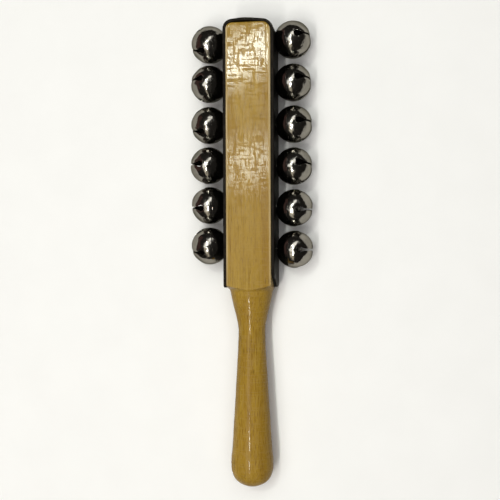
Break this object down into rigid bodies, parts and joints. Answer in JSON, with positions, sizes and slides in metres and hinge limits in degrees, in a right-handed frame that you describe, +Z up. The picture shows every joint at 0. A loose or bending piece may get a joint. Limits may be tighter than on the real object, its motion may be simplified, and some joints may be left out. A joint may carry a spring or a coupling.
{
  "type": "sleigh bells",
  "caption": "Hand-held sleigh bells: turned wooden handle with a square head, slit round bells wired along both sides through a leather strap, a loose ball in each bell.",
  "frame": {"origin": "under the middle of the overall length and width, on the flat back face of the wooden head, where the instrument rests when laid down", "axes": "+X across the head to the right-hand row of bells, +Y along the handle towards the head end, +Z up out of the head's front face"},
  "size_m": [0.0821, 0.3098, 0.03],
  "materials": {
    "wood": "clear lacquer",
    "leather": "satin",
    "keep_wire": "bright drawn",
    "tacks": "black japanned",
    "bell_shell": "polished nickel plate",
    "shank_wire": "bright drawn",
    "pellet": "plain"
  },
  "bodies": {
    "handle": {"wooden_handle": "wood", "leather_strap": "leather", "retaining_wire_right": "keep_wire", "retaining_wire_left": "keep_wire", "strap_tacks": "tacks"},
    "right_bell_1": {"right_bell_1_crown": "bell_shell", "right_bell_1_petals": "bell_shell", "right_bell_1_loop": "shank_wire"},
    "right_bell_1_ball": {"right_bell_1_pellet": "pellet"},
    "right_bell_2": {"right_bell_2_crown": "bell_shell", "right_bell_2_petals": "bell_shell", "right_bell_2_loop": "shank_wire"},
    "right_bell_2_ball": {"right_bell_2_pellet": "pellet"},
    "right_bell_3": {"right_bell_3_crown": "bell_shell", "right_bell_3_petals": "bell_shell", "right_bell_3_loop": "shank_wire"},
    "right_bell_3_ball": {"right_bell_3_pellet": "pellet"},
    "right_bell_4": {"right_bell_4_crown": "bell_shell", "right_bell_4_petals": "bell_shell", "right_bell_4_loop": "shank_wire"},
    "right_bell_4_ball": {"right_bell_4_pellet": "pellet"},
    "right_bell_5": {"right_bell_5_crown": "bell_shell", "right_bell_5_petals": "bell_shell", "right_bell_5_loop": "shank_wire"},
    "right_bell_5_ball": {"right_bell_5_pellet": "pellet"},
    "right_bell_6": {"right_bell_6_crown": "bell_shell", "right_bell_6_petals": "bell_shell", "right_bell_6_loop": "shank_wire"},
    "right_bell_6_ball": {"right_bell_6_pellet": "pellet"},
    "left_bell_1": {"left_bell_1_crown": "bell_shell", "left_bell_1_petals": "bell_shell", "left_bell_1_loop": "shank_wire"},
    "left_bell_1_ball": {"left_bell_1_pellet": "pellet"},
    "left_bell_2": {"left_bell_2_crown": "bell_shell", "left_bell_2_petals": "bell_shell", "left_bell_2_loop": "shank_wire"},
    "left_bell_2_ball": {"left_bell_2_pellet": "pellet"},
    "left_bell_3": {"left_bell_3_crown": "bell_shell", "left_bell_3_petals": "bell_shell", "left_bell_3_loop": "shank_wire"},
    "left_bell_3_ball": {"left_bell_3_pellet": "pellet"},
    "left_bell_4": {"left_bell_4_crown": "bell_shell", "left_bell_4_petals": "bell_shell", "left_bell_4_loop": "shank_wire"},
    "left_bell_4_ball": {"left_bell_4_pellet": "pellet"},
    "left_bell_5": {"left_bell_5_crown": "bell_shell", "left_bell_5_petals": "bell_shell", "left_bell_5_loop": "shank_wire"},
    "left_bell_5_ball": {"left_bell_5_pellet": "pellet"},
    "left_bell_6": {"left_bell_6_crown": "bell_shell", "left_bell_6_petals": "bell_shell", "left_bell_6_loop": "shank_wire"},
    "left_bell_6_ball": {"left_bell_6_pellet": "pellet"}
  },
  "joints": [
    {"name": "right_bell_1_twist", "type": "hinge", "parent": "handle", "child": "right_bell_1", "pos_m": [0.02805, 0.1425, 0.015], "axis": [-0.9877, -0.1564, 0], "range_deg": [-40, 30]},
    {"name": "right_bell_1_ball_roll", "type": "hinge", "parent": "right_bell_1", "child": "right_bell_1_ball", "pos_m": [0.02805, 0.1425, 0.015], "axis": [-0.9877, -0.1564, 0], "continuous": true},
    {"name": "right_bell_2_twist", "type": "hinge", "parent": "handle", "child": "right_bell_2", "pos_m": [0.0282, 0.1141, 0.015], "axis": [-0.9962, -0.0872, 0], "range_deg": [-44, 26]},
    {"name": "right_bell_2_ball_roll", "type": "hinge", "parent": "right_bell_2", "child": "right_bell_2_ball", "pos_m": [0.0282, 0.1141, 0.015], "axis": [-0.9962, -0.0872, 0], "continuous": true},
    {"name": "right_bell_3_twist", "type": "hinge", "parent": "handle", "child": "right_bell_3", "pos_m": [0.02875, 0.0864, 0.015], "axis": [-0.9986, -0.0523, 0], "range_deg": [-41, 29]},
    {"name": "right_bell_3_ball_roll", "type": "hinge", "parent": "right_bell_3", "child": "right_bell_3_ball", "pos_m": [0.02875, 0.0864, 0.015], "axis": [-0.9986, -0.0523, 0], "continuous": true},
    {"name": "right_bell_4_twist", "type": "hinge", "parent": "handle", "child": "right_bell_4", "pos_m": [0.02875, 0.0586, 0.015], "axis": [-1, 0, 0], "range_deg": [-44, 26]},
    {"name": "right_bell_4_ball_roll", "type": "hinge", "parent": "right_bell_4", "child": "right_bell_4_ball", "pos_m": [0.02875, 0.0586, 0.015], "axis": [-1, 0, 0], "continuous": true},
    {"name": "right_bell_5_twist", "type": "hinge", "parent": "handle", "child": "right_bell_5", "pos_m": [0.02885, 0.0309, 0.015], "axis": [-0.9945, 0.1045, 0], "range_deg": [-31, 39]},
    {"name": "right_bell_5_ball_roll", "type": "hinge", "parent": "right_bell_5", "child": "right_bell_5_ball", "pos_m": [0.02885, 0.0309, 0.015], "axis": [-0.9945, 0.1045, 0], "continuous": true},
    {"name": "right_bell_6_twist", "type": "hinge", "parent": "handle", "child": "right_bell_6", "pos_m": [0.02905, 0.0035, 0.015], "axis": [-0.9994, 0.0349, 0], "range_deg": [-35, 35]},
    {"name": "right_bell_6_ball_roll", "type": "hinge", "parent": "right_bell_6", "child": "right_bell_6_ball", "pos_m": [0.02905, 0.0035, 0.015], "axis": [-0.9994, 0.0349, 0], "continuous": true},
    {"name": "left_bell_1_twist", "type": "hinge", "parent": "handle", "child": "left_bell_1", "pos_m": [-0.02805, 0.1412, 0.015], "axis": [-0.9925, -0.1219, 0], "range_deg": [-6, 64]},
    {"name": "left_bell_1_ball_roll", "type": "hinge", "parent": "left_bell_1", "child": "left_bell_1_ball", "pos_m": [-0.02805, 0.1412, 0.015], "axis": [-0.9925, -0.1219, 0], "continuous": true},
    {"name": "left_bell_2_twist", "type": "hinge", "parent": "handle", "child": "left_bell_2", "pos_m": [-0.02845, 0.1147, 0.015], "axis": [-0.9976, 0.0698, 0], "range_deg": [-45, 25]},
    {"name": "left_bell_2_ball_roll", "type": "hinge", "parent": "left_bell_2", "child": "left_bell_2_ball", "pos_m": [-0.02845, 0.1147, 0.015], "axis": [-0.9976, 0.0698, 0], "continuous": true},
    {"name": "left_bell_3_twist", "type": "hinge", "parent": "handle", "child": "left_bell_3", "pos_m": [-0.0284, 0.087, 0.015], "axis": [-0.9877, -0.1564, 0], "range_deg": [-11, 59]},
    {"name": "left_bell_3_ball_roll", "type": "hinge", "parent": "left_bell_3", "child": "left_bell_3_ball", "pos_m": [-0.0284, 0.087, 0.015], "axis": [-0.9877, -0.1564, 0], "continuous": true},
    {"name": "left_bell_4_twist", "type": "hinge", "parent": "handle", "child": "left_bell_4", "pos_m": [-0.02895, 0.0599, 0.015], "axis": [-0.9986, 0.0523, 0], "range_deg": [-36, 34]},
    {"name": "left_bell_4_ball_roll", "type": "hinge", "parent": "left_bell_4", "child": "left_bell_4_ball", "pos_m": [-0.02895, 0.0599, 0.015], "axis": [-0.9986, 0.0523, 0], "continuous": true},
    {"name": "left_bell_5_twist", "type": "hinge", "parent": "handle", "child": "left_bell_5", "pos_m": [-0.02825, 0.0331, 0.015], "axis": [-0.9986, -0.0523, 0], "range_deg": [-25, 45]},
    {"name": "left_bell_5_ball_roll", "type": "hinge", "parent": "left_bell_5", "child": "left_bell_5_ball", "pos_m": [-0.02825, 0.0331, 0.015], "axis": [-0.9986, -0.0523, 0], "continuous": true},
    {"name": "left_bell_6_twist", "type": "hinge", "parent": "handle", "child": "left_bell_6", "pos_m": [-0.02835, 0.0059, 0.015], "axis": [-0.9903, -0.1392, 0], "range_deg": [-13, 57]},
    {"name": "left_bell_6_ball_roll", "type": "hinge", "parent": "left_bell_6", "child": "left_bell_6_ball", "pos_m": [-0.02835, 0.0059, 0.015], "axis": [-0.9903, -0.1392, 0], "continuous": true}
  ]
}
